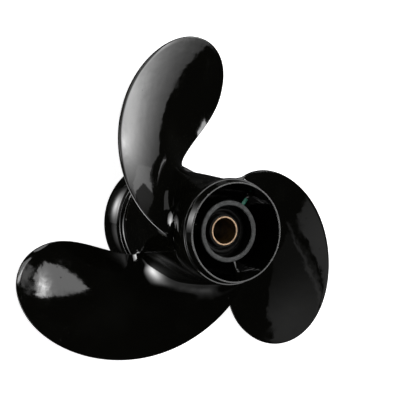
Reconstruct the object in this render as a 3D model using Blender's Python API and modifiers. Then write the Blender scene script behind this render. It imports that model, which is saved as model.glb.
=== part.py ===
"""Outboard propeller: three right-hand blades on a barrel that the exhaust runs through.

The shaft axis is Z and aft is +Z. The origin is on that axis, in the plane of the barrel's
front rim, and the propeller stands on that rim. The first blade's tip is towards +Y.
Seen from aft, each blade's leading edge is its clockwise edge and lies further forward.
"""
import math

import bmesh
import bpy
from mathutils import Vector

MM = 0.001
GAP = 0.3 * MM
BLADE_COUNT = 3

# Barrel: a hollow casting with a bell at its front and a ring and lip at its aft end
BARREL_LENGTH = 102.7 * MM
RIM_RADIUS = 38.4 * MM
RIM_CHAMFER = 0.6 * MM
BELL_LENGTH = 14.0 * MM
BELL_END_RADIUS = 36.1 * MM
BELL_BOW = 0.45 * MM
SHOULDER_END = 18.0 * MM
WAIST_FRONT_RADIUS = 33.8 * MM
WAIST_MIDDLE = 50.0 * MM
WAIST_MIDDLE_RADIUS = 32.9 * MM
WAIST_SLIM = 79.5 * MM
WAIST_SLIM_RADIUS = 31.2 * MM
FLARE_STEP = 0.2 * MM
FLARE_MIDDLE = 87.0 * MM
FLARE_MIDDLE_RADIUS = 31.65 * MM
RING_FRONT = 93.0 * MM
RING_AFT = 96.4 * MM
RING_RADIUS = 32.35 * MM
RING_STEP = 1.0 * MM
LIP_RADIUS = 30.1 * MM
LIP_ROUND = 0.5 * MM
BARREL_BORE_RADIUS = 28.3 * MM
BARREL_BORE_DRAFT_START = 60.0 * MM
BARREL_BORE_FRONT_RADIUS = 29.9 * MM
BELL_BORE_START = 24.0 * MM
BELL_BORE_RADIUS = 35.6 * MM
BARREL_STEPS = 72

# Inner hub: the tube that the rubber bushing is pressed into
HUB_FRONT = 16.0 * MM
HUB_AFT = 93.1 * MM
HUB_AFT_RADIUS = 18.8 * MM
HUB_FRONT_RADIUS = 19.6 * MM
HUB_BORE_RADIUS = 15.7 * MM
THRUST_SHOULDER = 8.0 * MM
THRUST_BORE_RADIUS = 11.6 * MM
HUB_CHAMFER = 0.6 * MM
HUB_STEPS = 60

# Rubber bushing and brass sleeve
RUBBER_AFT = 83.2 * MM
RUBBER_RECESS = 82.2 * MM
COLLAR_TOP = 87.2 * MM
COLLAR_RADIUS = 10.0 * MM
BEAD_TOP = 85.4 * MM
BEAD_OUTER_RADIUS = 14.5 * MM
BEAD_INNER_RADIUS = 11.0 * MM
BEAD_CELLS = 6
SLEEVE_FRONT = 18.5 * MM
SLEEVE_AFT = 87.8 * MM
SLEEVE_RADIUS = 8.9 * MM
SLEEVE_BORE_RADIUS = 7.7 * MM
SLEEVE_CHAMFER = 0.3 * MM
SLEEVE_STEPS = 48

# Ribs between the inner hub and the barrel
RIB_FRONT = 24.0 * MM
RIB_MIDDLE = 42.0 * MM
RIB_AFT = 87.0 * MM
RIB_THICKNESS = 3.2 * MM
RIB_FIRST_ANGLE = math.radians(56.0)

# Blades: sweep and half chord are Bezier controls from the root to the tip
TIP_RADIUS = 117.5 * MM
ROOT_RADIUS = 30.5 * MM
BLADE_INNER_RADIUS = 27.5 * MM
SWEEP_DEGREES = (148.5, 124.0, 108.0, 104.0, 94.5, 90.0)
HALF_CHORDS = (25.0 * MM, 40.5 * MM, 58.5 * MM, 63.5 * MM, 66.5 * MM)
ROOT_PITCH = 202.0 * MM
TIP_PITCH = 185.0 * MM
ROOT_MIDDLE_Z = 59.7 * MM
ROOT_THICKNESS = 8.5 * MM
TIP_THICKNESS = 2.2 * MM
EDGE_THICKNESS = 1.4 * MM
AFT_FILLET = 15.0 * MM
FORWARD_FILLET = 9.0 * MM
FORWARD_EDGE_FILLET = 6.0 * MM
LEADING_FILLET = 7.5 * MM
TRAILING_FILLET = 3.0 * MM
FILLET_ROWS = 8
SPAN_ROWS = 16
CHORD_CELLS = 18
EDGE_ARC_CELLS = 4

BLACK_PAINT = ((0.010, 0.010, 0.011, 1.0), 0.12, 0.0)
CAST_METAL = ((0.20, 0.20, 0.20, 1.0), 0.65, 0.8)
BLACK_RUBBER = ((0.020, 0.020, 0.020, 1.0), 0.6, 0.0)
BRASS = ((0.62, 0.40, 0.20, 1.0), 0.35, 0.9)


def clear_scene():
    for thing in list(bpy.data.objects):
        bpy.data.objects.remove(thing, do_unlink=True)


def new_collection(name):
    collection = bpy.data.collections.new(name)
    bpy.context.scene.collection.children.link(collection)
    return collection


def new_material(name, finish):
    colour, roughness, metallic = finish
    material = bpy.data.materials.new(name)
    material.use_nodes = True
    shader = material.node_tree.nodes["Principled BSDF"]
    shader.inputs["Base Color"].default_value = colour
    shader.inputs["Roughness"].default_value = roughness
    shader.inputs["Metallic"].default_value = metallic
    return material


def place_object(name, mesh, collection, material=None):
    thing = bpy.data.objects.new(name, mesh)
    collection.objects.link(thing)
    if material is not None:
        mesh.materials.clear()
        mesh.materials.append(material)
    return thing


def settle(thing, sharp_degrees=40.0):
    """Replace the object's mesh by what its modifiers make, and shade it smooth."""
    bpy.context.view_layer.update()
    graph = bpy.context.evaluated_depsgraph_get()
    made = bpy.data.meshes.new_from_object(thing.evaluated_get(graph))
    made.name = thing.name
    thing.modifiers.clear()
    thing.data = made
    made.shade_smooth()
    made.set_sharp_from_angle(angle=math.radians(sharp_degrees))


def turned(name, profile, steps, collection, material=None):
    """Turn a closed profile of (radius, z) points that runs down its outer side."""
    mesh = bpy.data.meshes.new(name)
    points = [(radius, 0.0, z) for radius, z in profile]
    edges = [(i, (i + 1) % len(points)) for i in range(len(points))]
    mesh.from_pydata(points, edges, [])
    thing = place_object(name, mesh, collection, material)
    screw = thing.modifiers.new("turn", "SCREW")
    screw.axis = "Z"
    screw.angle = 2.0 * math.pi
    screw.steps = steps
    screw.render_steps = steps
    screw.use_merge_vertices = True
    screw.merge_threshold = 0.00001
    return thing


def smooth_through(points, cells):
    """Points on a Catmull-Rom curve through the given (radius, z) points."""
    ends = [points[0]] + list(points) + [points[-1]]
    curve = []
    for before, start, end, after in zip(ends, ends[1:], ends[2:], ends[3:]):
        for cell in range(cells):
            f = cell / cells
            curve.append(tuple(
                0.5 * (2 * s + (e - b) * f + (2 * b - 5 * s + 4 * e - a) * f ** 2
                       + (3 * s - b - 3 * e + a) * f ** 3)
                for b, s, e, a in zip(before, start, end, after)))
    curve.append(points[-1])
    return curve


def bowed_line(start, end, bulge, cells):
    """Points of a shallow bow from start to end, standing out by bulge at its middle."""
    curve = []
    for cell in range(cells + 1):
        f = cell / cells
        lift = bulge * math.sin(math.pi * f)
        curve.append((start[0] + (end[0] - start[0]) * f + lift,
                      start[1] + (end[1] - start[1]) * f))
    return curve


def barrel_outside():
    """The barrel's outer line as (radius, z) from the aft lip to the front rim."""
    line = [(LIP_RADIUS - LIP_ROUND, BARREL_LENGTH),
            (LIP_RADIUS, BARREL_LENGTH - LIP_ROUND),
            (RING_RADIUS - RING_STEP, RING_AFT + 0.4 * MM),
            (RING_RADIUS - 0.2 * MM, RING_AFT),
            (RING_RADIUS, RING_AFT - 0.4 * MM)]
    line += smooth_through([(RING_RADIUS - 0.15 * MM, RING_FRONT),
                            (FLARE_MIDDLE_RADIUS, FLARE_MIDDLE),
                            (WAIST_SLIM_RADIUS + FLARE_STEP, WAIST_SLIM + FLARE_STEP)], 2)
    line += smooth_through([(WAIST_SLIM_RADIUS, WAIST_SLIM),
                            (WAIST_MIDDLE_RADIUS, WAIST_MIDDLE),
                            (WAIST_FRONT_RADIUS - 0.1 * MM, SHOULDER_END + 8.0 * MM),
                            (WAIST_FRONT_RADIUS, SHOULDER_END)], 2)
    line += [(BELL_END_RADIUS - 1.3 * MM, SHOULDER_END - 1.8 * MM),
             (BELL_END_RADIUS - 0.4 * MM, BELL_LENGTH + 0.7 * MM)]
    line += bowed_line((BELL_END_RADIUS, BELL_LENGTH),
                       (RIM_RADIUS, RIM_CHAMFER), BELL_BOW, 5)
    line.append((RIM_RADIUS - RIM_CHAMFER, 0.0))
    return line


def barrel_inside():
    """The barrel's inner line as (radius, z) from the front rim to the aft lip."""
    line = [(BELL_BORE_RADIUS + RIM_CHAMFER, 0.0)]
    line += smooth_through([(BELL_BORE_RADIUS, RIM_CHAMFER),
                            (BELL_BORE_RADIUS - 1.1 * MM, 7.0 * MM),
                            (BARREL_BORE_FRONT_RADIUS + 0.9 * MM, BELL_BORE_START - 7.0 * MM),
                            (BARREL_BORE_FRONT_RADIUS, BELL_BORE_START),
                            (BARREL_BORE_RADIUS, BARREL_BORE_DRAFT_START)], 2)
    line += [(BARREL_BORE_RADIUS, BARREL_LENGTH - LIP_ROUND),
             (BARREL_BORE_RADIUS + LIP_ROUND, BARREL_LENGTH)]
    return line


def radius_on(line, z):
    """Radius of a (radius, z) line at height z, by straight interpolation."""
    ordered = sorted(line, key=lambda point: point[1])
    for low, high in zip(ordered, ordered[1:]):
        if low[1] <= z <= high[1] and high[1] > low[1]:
            part = (z - low[1]) / (high[1] - low[1])
            return low[0] + (high[0] - low[0]) * part
    return ordered[0][0] if z < ordered[0][1] else ordered[-1][0]


def bezier(controls, t):
    """Value at t of the Bezier curve with these control values."""
    degree = len(controls) - 1
    return sum(math.comb(degree, i) * t ** i * (1 - t) ** (degree - i) * value
               for i, value in enumerate(controls))


def wrapped(radius, angle, z):
    return Vector((radius * math.cos(angle), radius * math.sin(angle), z))


def span_share(radius):
    """0 at the blade's root and 1 at the last row before its tip."""
    share = (radius - ROOT_RADIUS) / (TIP_RADIUS - 0.5 * EDGE_THICKNESS - ROOT_RADIUS)
    return min(max(share, 0.0), 1.0)


def helix_slope(radius):
    """Rise of the blade's helix for each unit of way around the shaft at this radius."""
    pitch = ROOT_PITCH + (TIP_PITCH - ROOT_PITCH) * span_share(radius)
    return pitch / (2.0 * math.pi * radius)


def blade_point(radius, across, forward=0.0, along=0.0):
    """A point of the first blade's section on the cylinder of this radius.

    across runs over the aft face from -1 at the leading edge to 1 at the trailing edge.
    forward and along then move the point square to the helix and along it.
    """
    t = span_share(radius)
    half_chord = math.sqrt(1.0 - t * t) * (bezier(HALF_CHORDS, t) - 0.5 * EDGE_THICKNESS)
    angle = math.radians(bezier(SWEEP_DEGREES, t)) + across * half_chord / radius
    slope = helix_slope(radius)
    z = ROOT_MIDDLE_Z + radius * slope * (angle - math.radians(SWEEP_DEGREES[0]))
    length = math.hypot(1.0, slope)
    angle += (forward * slope + along) / (length * radius)
    z += (along * slope - forward) / length
    return wrapped(radius, angle, z)


def fillet_growth(clearance, reach):
    """How far a fillet of this reach stands out at this height above the barrel."""
    if clearance >= reach:
        return 0.0
    inside = reach - max(clearance, 0.02 * reach)
    return reach - math.sqrt(reach ** 2 - inside ** 2)


def aft_fillet_reach(across):
    """The aft fillet is large at the middle of the chord and smaller at the edges."""
    edge_reach = LEADING_FILLET if across < 0.0 else TRAILING_FILLET
    return edge_reach + (AFT_FILLET - edge_reach) * (1.0 - across * across)


def forward_fillet_reach(across):
    """The forward fillet shrinks a little towards both edges."""
    return FORWARD_EDGE_FILLET + (FORWARD_FILLET - FORWARD_EDGE_FILLET) * (1.0 - across * across)


def section_thickness(radius, across):
    share = math.sqrt(span_share(radius))
    thickest = ROOT_THICKNESS + (TIP_THICKNESS - ROOT_THICKNESS) * share
    return EDGE_THICKNESS + (thickest - EDGE_THICKNESS) * (1.0 - across * across)


def blade_radii():
    """Radii of the blade's rows, close together through the fillet and at the tip."""
    radii = [BLADE_INNER_RADIUS]
    for row in range(FILLET_ROWS):
        turn = 0.5 * math.pi * row / FILLET_ROWS
        radii.append(WAIST_SLIM_RADIUS + AFT_FILLET * (1.0 - math.cos(turn)))
    start = WAIST_SLIM_RADIUS + AFT_FILLET
    span = TIP_RADIUS - 0.5 * EDGE_THICKNESS - start
    for row in range(SPAN_ROWS + 1):
        radii.append(start + span * math.sin(0.5 * math.pi * row / SPAN_ROWS))
    return radii


def edge_outward(radii, row, side):
    """Unit vector in the blade's face, square to its edge and pointing off the blade."""
    before = blade_point(radii[max(row - 1, 0)], side)
    after = blade_point(radii[min(row + 1, len(radii) - 1)], side)
    here = blade_point(radii[row], side)
    if row == len(radii) - 1:
        return Vector((here.x, here.y, 0.0)).normalized()
    outward = here - blade_point(radii[row], 0.9 * side)
    along_edge = (after - before).normalized()
    outward -= along_edge * outward.dot(along_edge)
    return outward.normalized()


def edge_arc(radii, row, side, outside):
    """The round edge of a section from its aft face to its forward face."""
    radius = radii[row]
    half = 0.5 * EDGE_THICKNESS
    clearance = radius - radius_on(outside, blade_point(radius, side).z)
    aft_growth = fillet_growth(clearance, aft_fillet_reach(side))
    forward_growth = fillet_growth(clearance, forward_fillet_reach(side))
    outward = edge_outward(radii, row, side)
    points = []
    for cell in range(EDGE_ARC_CELLS + 1):
        turn = math.pi * cell / EDGE_ARC_CELLS
        growth = aft_growth + (forward_growth - aft_growth) * cell / EDGE_ARC_CELLS
        forward = half - (half + growth) * math.cos(turn)
        along = side * aft_growth * math.sin(turn)
        point = blade_point(radius, side, forward, along)
        points.append(point + outward * (half * math.sin(turn)))
    return points


def section_loop(radii, row, outside):
    """The closed outline of one section: aft face, trailing edge, forward face, leading edge."""
    radius = radii[row]
    aft_face = []
    forward_face = []
    for cell in range(1, CHORD_CELLS):
        across = -math.cos(math.pi * cell / CHORD_CELLS)
        clearance = radius - radius_on(outside, blade_point(radius, across).z)
        aft = fillet_growth(clearance, aft_fillet_reach(across))
        forward = fillet_growth(clearance, forward_fillet_reach(across))
        thickness = section_thickness(radius, across)
        aft_face.append(blade_point(radius, across, -aft))
        forward_face.append(blade_point(radius, across, thickness + forward))
    trailing = edge_arc(radii, row, 1.0, outside)
    leading = edge_arc(radii, row, -1.0, outside)
    return aft_face + trailing + forward_face[::-1] + leading[::-1]


def blade_mesh(name):
    """Loft the first blade through its sections, from inside the barrel to the tip."""
    outside = barrel_outside()
    radii = blade_radii()
    mesh = bmesh.new()
    loops = []
    for row in range(len(radii)):
        loop = section_loop(radii, row, outside)
        loops.append([mesh.verts.new(point) for point in loop])
    count = len(loops[0])
    for lower, upper in zip(loops, loops[1:]):
        for i in range(count):
            j = (i + 1) % count
            mesh.faces.new((lower[i], lower[j], upper[j], upper[i]))
    mesh.faces.new(loops[0])
    bmesh.ops.remove_doubles(mesh, verts=list(mesh.verts), dist=0.00002)
    open_edges = [edge for edge in mesh.edges if edge.is_boundary]
    bmesh.ops.holes_fill(mesh, edges=open_edges, sides=0)
    bmesh.ops.triangulate(mesh, faces=list(mesh.faces))
    bmesh.ops.recalc_face_normals(mesh, faces=list(mesh.faces))
    data = bpy.data.meshes.new(name)
    mesh.to_mesh(data)
    mesh.free()
    return data


def make_barrel(collection, material):
    profile = barrel_outside() + barrel_inside()
    barrel = turned("barrel", profile, BARREL_STEPS, collection, material)
    settle(barrel)


def make_inner_hub(collection, material):
    step_z = HUB_FRONT + THRUST_SHOULDER
    profile = [(HUB_AFT_RADIUS - HUB_CHAMFER, HUB_AFT),
               (HUB_AFT_RADIUS, HUB_AFT - HUB_CHAMFER),
               (HUB_FRONT_RADIUS, HUB_FRONT + HUB_CHAMFER),
               (HUB_FRONT_RADIUS - HUB_CHAMFER, HUB_FRONT),
               (THRUST_BORE_RADIUS + HUB_CHAMFER, HUB_FRONT),
               (THRUST_BORE_RADIUS, HUB_FRONT + HUB_CHAMFER),
               (THRUST_BORE_RADIUS, step_z),
               (HUB_BORE_RADIUS, step_z),
               (HUB_BORE_RADIUS, HUB_AFT - HUB_CHAMFER),
               (HUB_BORE_RADIUS + HUB_CHAMFER, HUB_AFT)]
    hub = turned("inner_hub", profile, HUB_STEPS, collection, material)
    settle(hub)


def make_bushing(collection, material):
    outer = HUB_BORE_RADIUS - GAP
    inner = SLEEVE_RADIUS + GAP
    front = HUB_FRONT + THRUST_SHOULDER + GAP
    bead_middle = 0.5 * (BEAD_OUTER_RADIUS + BEAD_INNER_RADIUS)
    bead_half = 0.5 * (BEAD_OUTER_RADIUS - BEAD_INNER_RADIUS)
    profile = [(inner, COLLAR_TOP),
               (COLLAR_RADIUS, COLLAR_TOP),
               (COLLAR_RADIUS, RUBBER_RECESS),
               (BEAD_INNER_RADIUS, RUBBER_RECESS)]
    for cell in range(BEAD_CELLS + 1):
        turn = math.pi * cell / BEAD_CELLS
        profile.append((bead_middle - bead_half * math.cos(turn),
                        RUBBER_AFT + (BEAD_TOP - RUBBER_AFT) * math.sin(turn)))
    profile += [(outer, RUBBER_AFT), (outer, front), (inner, front)]
    bushing = turned("rubber_bushing", profile, HUB_STEPS, collection, material)
    settle(bushing)


def make_sleeve(collection, material):
    profile = [(SLEEVE_RADIUS - SLEEVE_CHAMFER, SLEEVE_AFT),
               (SLEEVE_RADIUS, SLEEVE_AFT - SLEEVE_CHAMFER),
               (SLEEVE_RADIUS, SLEEVE_FRONT + SLEEVE_CHAMFER),
               (SLEEVE_RADIUS - SLEEVE_CHAMFER, SLEEVE_FRONT),
               (SLEEVE_BORE_RADIUS, SLEEVE_FRONT),
               (SLEEVE_BORE_RADIUS, SLEEVE_AFT)]
    sleeve = turned("brass_sleeve", profile, SLEEVE_STEPS, collection, material)
    settle(sleeve)


def make_ribs(collection, material):
    """Three flat plates that follow the barrel's bore on their outer side."""
    half = 0.5 * RIB_THICKNESS
    inside = barrel_inside()
    heights = (RIB_FRONT, RIB_MIDDLE, BARREL_BORE_DRAFT_START, RIB_AFT)
    outline = [(HUB_FRONT_RADIUS + GAP, RIB_AFT), (HUB_FRONT_RADIUS + GAP, RIB_FRONT)]
    for z in heights:
        corner = math.sqrt((radius_on(inside, z) - GAP) ** 2 - half ** 2)
        outline.append((corner, z))
    mesh = bmesh.new()
    near = [mesh.verts.new((x, -half, z)) for x, z in outline]
    plate = mesh.faces.new(near)
    pulled = bmesh.ops.extrude_face_region(mesh, geom=[plate])
    moved = [item for item in pulled["geom"] if isinstance(item, bmesh.types.BMVert)]
    bmesh.ops.translate(mesh, verts=moved, vec=(0.0, RIB_THICKNESS, 0.0))
    bmesh.ops.recalc_face_normals(mesh, faces=list(mesh.faces))
    data = bpy.data.meshes.new("rib")
    mesh.to_mesh(data)
    mesh.free()
    for index in range(BLADE_COUNT):
        rib = place_object(f"rib_{index + 1}", data, collection, material)
        turn = 2.0 * math.pi * index / BLADE_COUNT
        rib.rotation_euler = (0.0, 0.0, RIB_FIRST_ANGLE + turn)


def make_blades(collection, cutters, material):
    """One blade trimmed to the barrel, then placed three times around the shaft."""
    outside = [(radius + GAP, z) for radius, z in barrel_outside()]
    axis_line = [(0.0, 0.0), (0.0, BARREL_LENGTH)]
    cutter = turned("barrel_envelope", outside + axis_line, BARREL_STEPS, cutters)
    cutter.display_type = "WIRE"
    cutter.hide_render = True
    data = blade_mesh("blade")
    first = place_object("blade_1", data, collection, material)
    trim = first.modifiers.new("trim", "BOOLEAN")
    trim.operation = "DIFFERENCE"
    trim.solver = "EXACT"
    trim.object = cutter
    settle(first)
    for index in range(1, BLADE_COUNT):
        blade = place_object(f"blade_{index + 1}", first.data, collection)
        blade.rotation_euler = (0.0, 0.0, 2.0 * math.pi * index / BLADE_COUNT)


clear_scene()
propeller = new_collection("outboard_propeller")
cutting_shapes = new_collection("cutters")
black_paint = new_material("black_paint", BLACK_PAINT)
cast_metal = new_material("cast_metal", CAST_METAL)
black_rubber = new_material("black_rubber", BLACK_RUBBER)
brass = new_material("brass", BRASS)
make_barrel(propeller, black_paint)
make_inner_hub(propeller, cast_metal)
make_bushing(propeller, black_rubber)
make_sleeve(propeller, brass)
make_ribs(propeller, black_paint)
make_blades(propeller, cutting_shapes, black_paint)
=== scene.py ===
"""Looks of an outboard propeller: three blades and a barrel cast in one piece and painted gloss
black, with a ribbed inner hub, a rubber bushing and a brass drive sleeve.

The shaft axis is Z and aft is +Z. The propeller stands on its front rim, as the CAD part does,
and the camera looks down on its aft end from the side, as the photographer did.
"""
import math

import bmesh
import bpy
from mathutils import Matrix, Vector


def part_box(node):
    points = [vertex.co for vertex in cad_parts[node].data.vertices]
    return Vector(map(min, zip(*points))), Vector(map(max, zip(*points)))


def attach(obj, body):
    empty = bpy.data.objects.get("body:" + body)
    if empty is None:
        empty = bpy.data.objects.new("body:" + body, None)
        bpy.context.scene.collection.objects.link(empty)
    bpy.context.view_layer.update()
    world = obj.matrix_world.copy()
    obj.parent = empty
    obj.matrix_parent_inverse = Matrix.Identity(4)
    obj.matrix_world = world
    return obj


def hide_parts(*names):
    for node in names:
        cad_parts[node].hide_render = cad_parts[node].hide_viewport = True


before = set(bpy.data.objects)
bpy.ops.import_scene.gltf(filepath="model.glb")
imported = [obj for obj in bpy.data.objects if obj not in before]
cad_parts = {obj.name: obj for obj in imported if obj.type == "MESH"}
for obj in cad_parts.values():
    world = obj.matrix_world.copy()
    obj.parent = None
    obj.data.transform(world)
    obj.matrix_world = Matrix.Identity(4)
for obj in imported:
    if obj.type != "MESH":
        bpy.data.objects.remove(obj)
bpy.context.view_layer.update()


# Barrel: the outer shell of the casting, which the exhaust runs through. It is sand-smooth
# aluminium under gloss black enamel, with a bell at the front, a slim waist, a flare that
# starts at the mould's parting step, and a ring and a turned lip at the aft end.
MM = 0.001
BARREL_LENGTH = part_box("barrel")[1].z
RIM_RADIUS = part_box("barrel")[1].y
RIM_ROUND = 0.8 * MM
BELL_LENGTH = 14.2 * MM
BELL_END_RADIUS = 36.1 * MM
BELL_BOW = 0.45 * MM
LAND_END = 17.6 * MM
LAND_RADIUS = 35.9 * MM
SHOULDER_END = 19.0 * MM
SHOULDER_SLOPE = 0.5 * MM
SHOULDER_FOOT_ROUND = 1.1 * MM
SHOULDER_EDGE_ROUND = 0.45 * MM
WAIST_FRONT_RADIUS = 33.8 * MM
WAIST_FRONT_LENGTH = 8.0 * MM
WAIST_FRONT_TAPER = 0.1 * MM
WAIST_MIDDLE = 50.0 * MM
WAIST_MIDDLE_RADIUS = 32.9 * MM
WAIST_SLIM = 79.5 * MM
WAIST_SLIM_RADIUS = 31.2 * MM
FLARE_STEP = 0.2 * MM
FLARE_MIDDLE = 87.0 * MM
FLARE_MIDDLE_RADIUS = 31.65 * MM
RING_FRONT = 93.4 * MM
RING_AFT = 96.5 * MM
RING_RADIUS = 32.35 * MM
RING_AFT_STEP = 1.15 * MM
RING_AFT_SLOPE = 0.05 * MM
RING_FRONT_STEP = 0.4 * MM
RING_FRONT_SLOPE = 0.25 * MM
RING_FOOT_ROUND = 0.2 * MM
RING_EDGE_ROUND = 0.25 * MM
RING_CROWN = 0.2 * MM
CROWN_CELLS = 5
LIP_RADIUS = 30.4 * MM
LIP_OUTER_ROUND = 0.25 * MM
LIP_BORE_ROUND = 0.3 * MM
LIP_BORE_DEPTH = 1.0 * MM
BARREL_BORE_RADIUS = 29.3 * MM
BARREL_BORE_DRAFT_START = 60.0 * MM
BARREL_BORE_FRONT_RADIUS = 30.0 * MM
BARREL_BORE_FLARE = 0.9 * MM
BELL_BORE_START = 24.0 * MM
BELL_BORE_RADIUS = 35.6 * MM
BELL_BORE_BEND = 7.0 * MM
BELL_BORE_TAPER = 1.1 * MM
RIM_EDGE_ROUND = 0.6 * MM
LINE_CELLS = 8
WAIST_CELLS = 10
BELL_CELLS = 16
BARREL_STEPS = 288
ENAMEL_BLACK = (0.0016, 0.0016, 0.0011)
ENAMEL_DUSTY = (0.0032, 0.0033, 0.0026)
ENAMEL_ROUGHNESS = 0.03
SMUDGED_ROUGHNESS = 0.12
WAVE_SIZE = 11.0 * MM
WAVE_DEPTH = 0.06 * MM
RIPPLE_SIZE = 3.6 * MM
RIPPLE_DEPTH = 0.010 * MM
PEEL_SIZE = 1.1 * MM
PEEL_DEPTH = 0.0015 * MM
NIB_SPACING = 9.0 * MM
NIB_RADIUS = 0.45 * MM
NIB_HEIGHT = 0.05 * MM
SMUDGE_SIZE = 16.0 * MM
DUST_SIZE = 30.0 * MM
WORN_HEIGHT = 0.9 * MM
WORN_LIP_HEIGHT = 0.27 * MM
WORN_SIZE = 1.6 * MM
WORN_ROUGHNESS = 0.3
WORN_COLOUR = (0.06, 0.06, 0.058)


def smooth_through(points, cells):
    """Points on a Catmull-Rom curve through the given (radius, z) points."""
    ends = [points[0]] + list(points) + [points[-1]]
    curve = []
    for before, start, end, after in zip(ends, ends[1:], ends[2:], ends[3:]):
        for cell in range(cells):
            f = cell / cells
            curve.append(tuple(
                0.5 * (2 * s + (e - b) * f + (2 * b - 5 * s + 4 * e - a) * f ** 2
                       + (3 * s - b - 3 * e + a) * f ** 3)
                for b, s, e, a in zip(before, start, end, after)))
    curve.append(points[-1])
    return curve


def rounded_corner(before, corner, after, size, cells=5):
    """Points of a soft corner that starts and ends this far from its sharp point."""
    corner = Vector(corner)
    start = corner + (Vector(before) - corner).normalized() * size
    end = corner + (Vector(after) - corner).normalized() * size
    points = []
    for cell in range(cells + 1):
        f = cell / cells
        points.append(tuple(start.lerp(corner, f).lerp(corner.lerp(end, f), f)))
    return points


def softened(line, sizes):
    """The line with some of its corners rounded; sizes maps a point's index to its rounding."""
    made = []
    for i, point in enumerate(line):
        if i in sizes:
            after = line[(i + 1) % len(line)]
            made += rounded_corner(line[i - 1], point, after, sizes[i])
        else:
            made.append(point)
    return made


def bowed_line(start, end, bulge, cells):
    """Points of a shallow bow from start to end, standing out by bulge at its middle."""
    curve = []
    for cell in range(cells + 1):
        f = cell / cells
        lift = bulge * math.sin(math.pi * f)
        curve.append((start[0] + (end[0] - start[0]) * f + lift,
                      start[1] + (end[1] - start[1]) * f))
    return curve


def barrel_outside():
    """The barrel's outer line as (radius, z) from the aft lip to the front rim."""
    ring_foot = (RING_RADIUS - RING_FRONT_STEP, RING_FRONT - RING_FRONT_SLOPE)
    waist_end = (WAIST_FRONT_RADIUS, SHOULDER_END + SHOULDER_SLOPE)
    bell_end = (BELL_END_RADIUS, BELL_LENGTH)
    crown = []
    for cell in range(CROWN_CELLS, -1, -1):
        f = cell / CROWN_CELLS
        crown.append((RING_RADIUS - RING_CROWN * f * f, RING_FRONT + (RING_AFT - RING_FRONT) * f))
    ring = softened([(LIP_RADIUS, BARREL_LENGTH),
                     (RING_RADIUS - RING_AFT_STEP, RING_AFT + RING_AFT_SLOPE), *crown, ring_foot],
                    {1: RING_FOOT_ROUND, 2: RING_EDGE_ROUND, CROWN_CELLS + 2: RING_EDGE_ROUND})
    flare = smooth_through([ring_foot, (FLARE_MIDDLE_RADIUS, FLARE_MIDDLE),
                            (WAIST_SLIM_RADIUS + FLARE_STEP, WAIST_SLIM + FLARE_STEP)], LINE_CELLS)
    waist = smooth_through([(WAIST_SLIM_RADIUS, WAIST_SLIM), (WAIST_MIDDLE_RADIUS, WAIST_MIDDLE),
                            (WAIST_FRONT_RADIUS - WAIST_FRONT_TAPER,
                             SHOULDER_END + WAIST_FRONT_LENGTH), waist_end], WAIST_CELLS)
    shoulder = softened([waist_end,
                         (WAIST_FRONT_RADIUS + WAIST_FRONT_TAPER, LAND_END + SHOULDER_SLOPE),
                         (LAND_RADIUS, LAND_END), bell_end],
                        {1: SHOULDER_FOOT_ROUND, 2: SHOULDER_EDGE_ROUND})
    bell = bowed_line(bell_end, (RIM_RADIUS, RIM_ROUND), BELL_BOW, BELL_CELLS)
    return ring[1:-1] + flare + waist + shoulder[1:-1] + bell


def barrel_inside():
    """The barrel's inner line as (radius, z) from the front rim to the aft lip."""
    return smooth_through([(BELL_BORE_RADIUS, RIM_ROUND),
                           (BELL_BORE_RADIUS - BELL_BORE_TAPER, BELL_BORE_BEND),
                           (BARREL_BORE_FRONT_RADIUS + BARREL_BORE_FLARE,
                            BELL_BORE_START - BELL_BORE_BEND),
                           (BARREL_BORE_FRONT_RADIUS, BELL_BORE_START),
                           (BARREL_BORE_RADIUS, BARREL_BORE_DRAFT_START),
                           (BARREL_BORE_RADIUS, BARREL_LENGTH - LIP_BORE_DEPTH)], LINE_CELLS)


def value_on(line, place):
    """Value at a place of a line of (value, place) points whose places run down."""
    for high, low in zip(line, line[1:]):
        if low[1] <= place <= high[1] and high[1] > low[1]:
            part = (place - low[1]) / (high[1] - low[1])
            return low[0] + (high[0] - low[0]) * part
    return line[0][0] if place > line[0][1] else line[-1][0]


def turned_mesh(name, line, steps):
    """Turn a closed (radius, z) line, which runs down its outer side, once round the shaft."""
    verts = []
    for step in range(steps):
        turn = 2.0 * math.pi * step / steps
        verts += [(radius * math.cos(turn), radius * math.sin(turn), z) for radius, z in line]
    count = len(line)
    faces = []
    for step in range(steps):
        here = step * count
        there = (step + 1) % steps * count
        for i in range(count):
            j = (i + 1) % count
            faces.append((here + i, here + j, there + j, there + i))
    mesh = bpy.data.meshes.new(name)
    mesh.from_pydata(verts, [], faces)
    return mesh


def finished(name, mesh, material, slot_name, *nodes, sharp_degrees=50.0):
    """Show a finished mesh as a piece of the propeller that stands for these CAD nodes."""
    mesh.materials.clear()
    mesh.materials.append(material)
    mesh.shade_smooth()
    mesh.set_sharp_from_angle(angle=math.radians(sharp_degrees))
    piece = bpy.data.objects.new(name, mesh)
    bpy.context.scene.collection.objects.link(piece)
    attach(piece, "root")
    if nodes:
        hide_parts(*nodes)


def fed(tree, kind, *sources, settings=(), **named):
    """A new node, fed in order or by name with other nodes' sockets or with plain values."""
    node = tree.nodes.new(kind)
    for name, value in dict(settings).items():
        setattr(node, name, value)
    places = list(zip(node.inputs, sources))
    places += [(node.inputs[name.replace("_", " ")], source) for name, source in named.items()]
    for place, source in places:
        if isinstance(source, bpy.types.NodeSocket):
            tree.links.new(source, place)
        else:
            place.default_value = source
    return node


def math_node(tree, operation, *sources):
    """The result of a Math node of this operation."""
    return fed(tree, "ShaderNodeMath", *sources, settings={"operation": operation}).outputs[0]


def ramped(tree, value, low, high):
    """0 below low, 1 above high and smooth between them."""
    return fed(tree, "ShaderNodeMapRange", settings={"interpolation_type": "SMOOTHSTEP"},
               Value=value, From_Min=low, From_Max=high).outputs[0]


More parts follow.
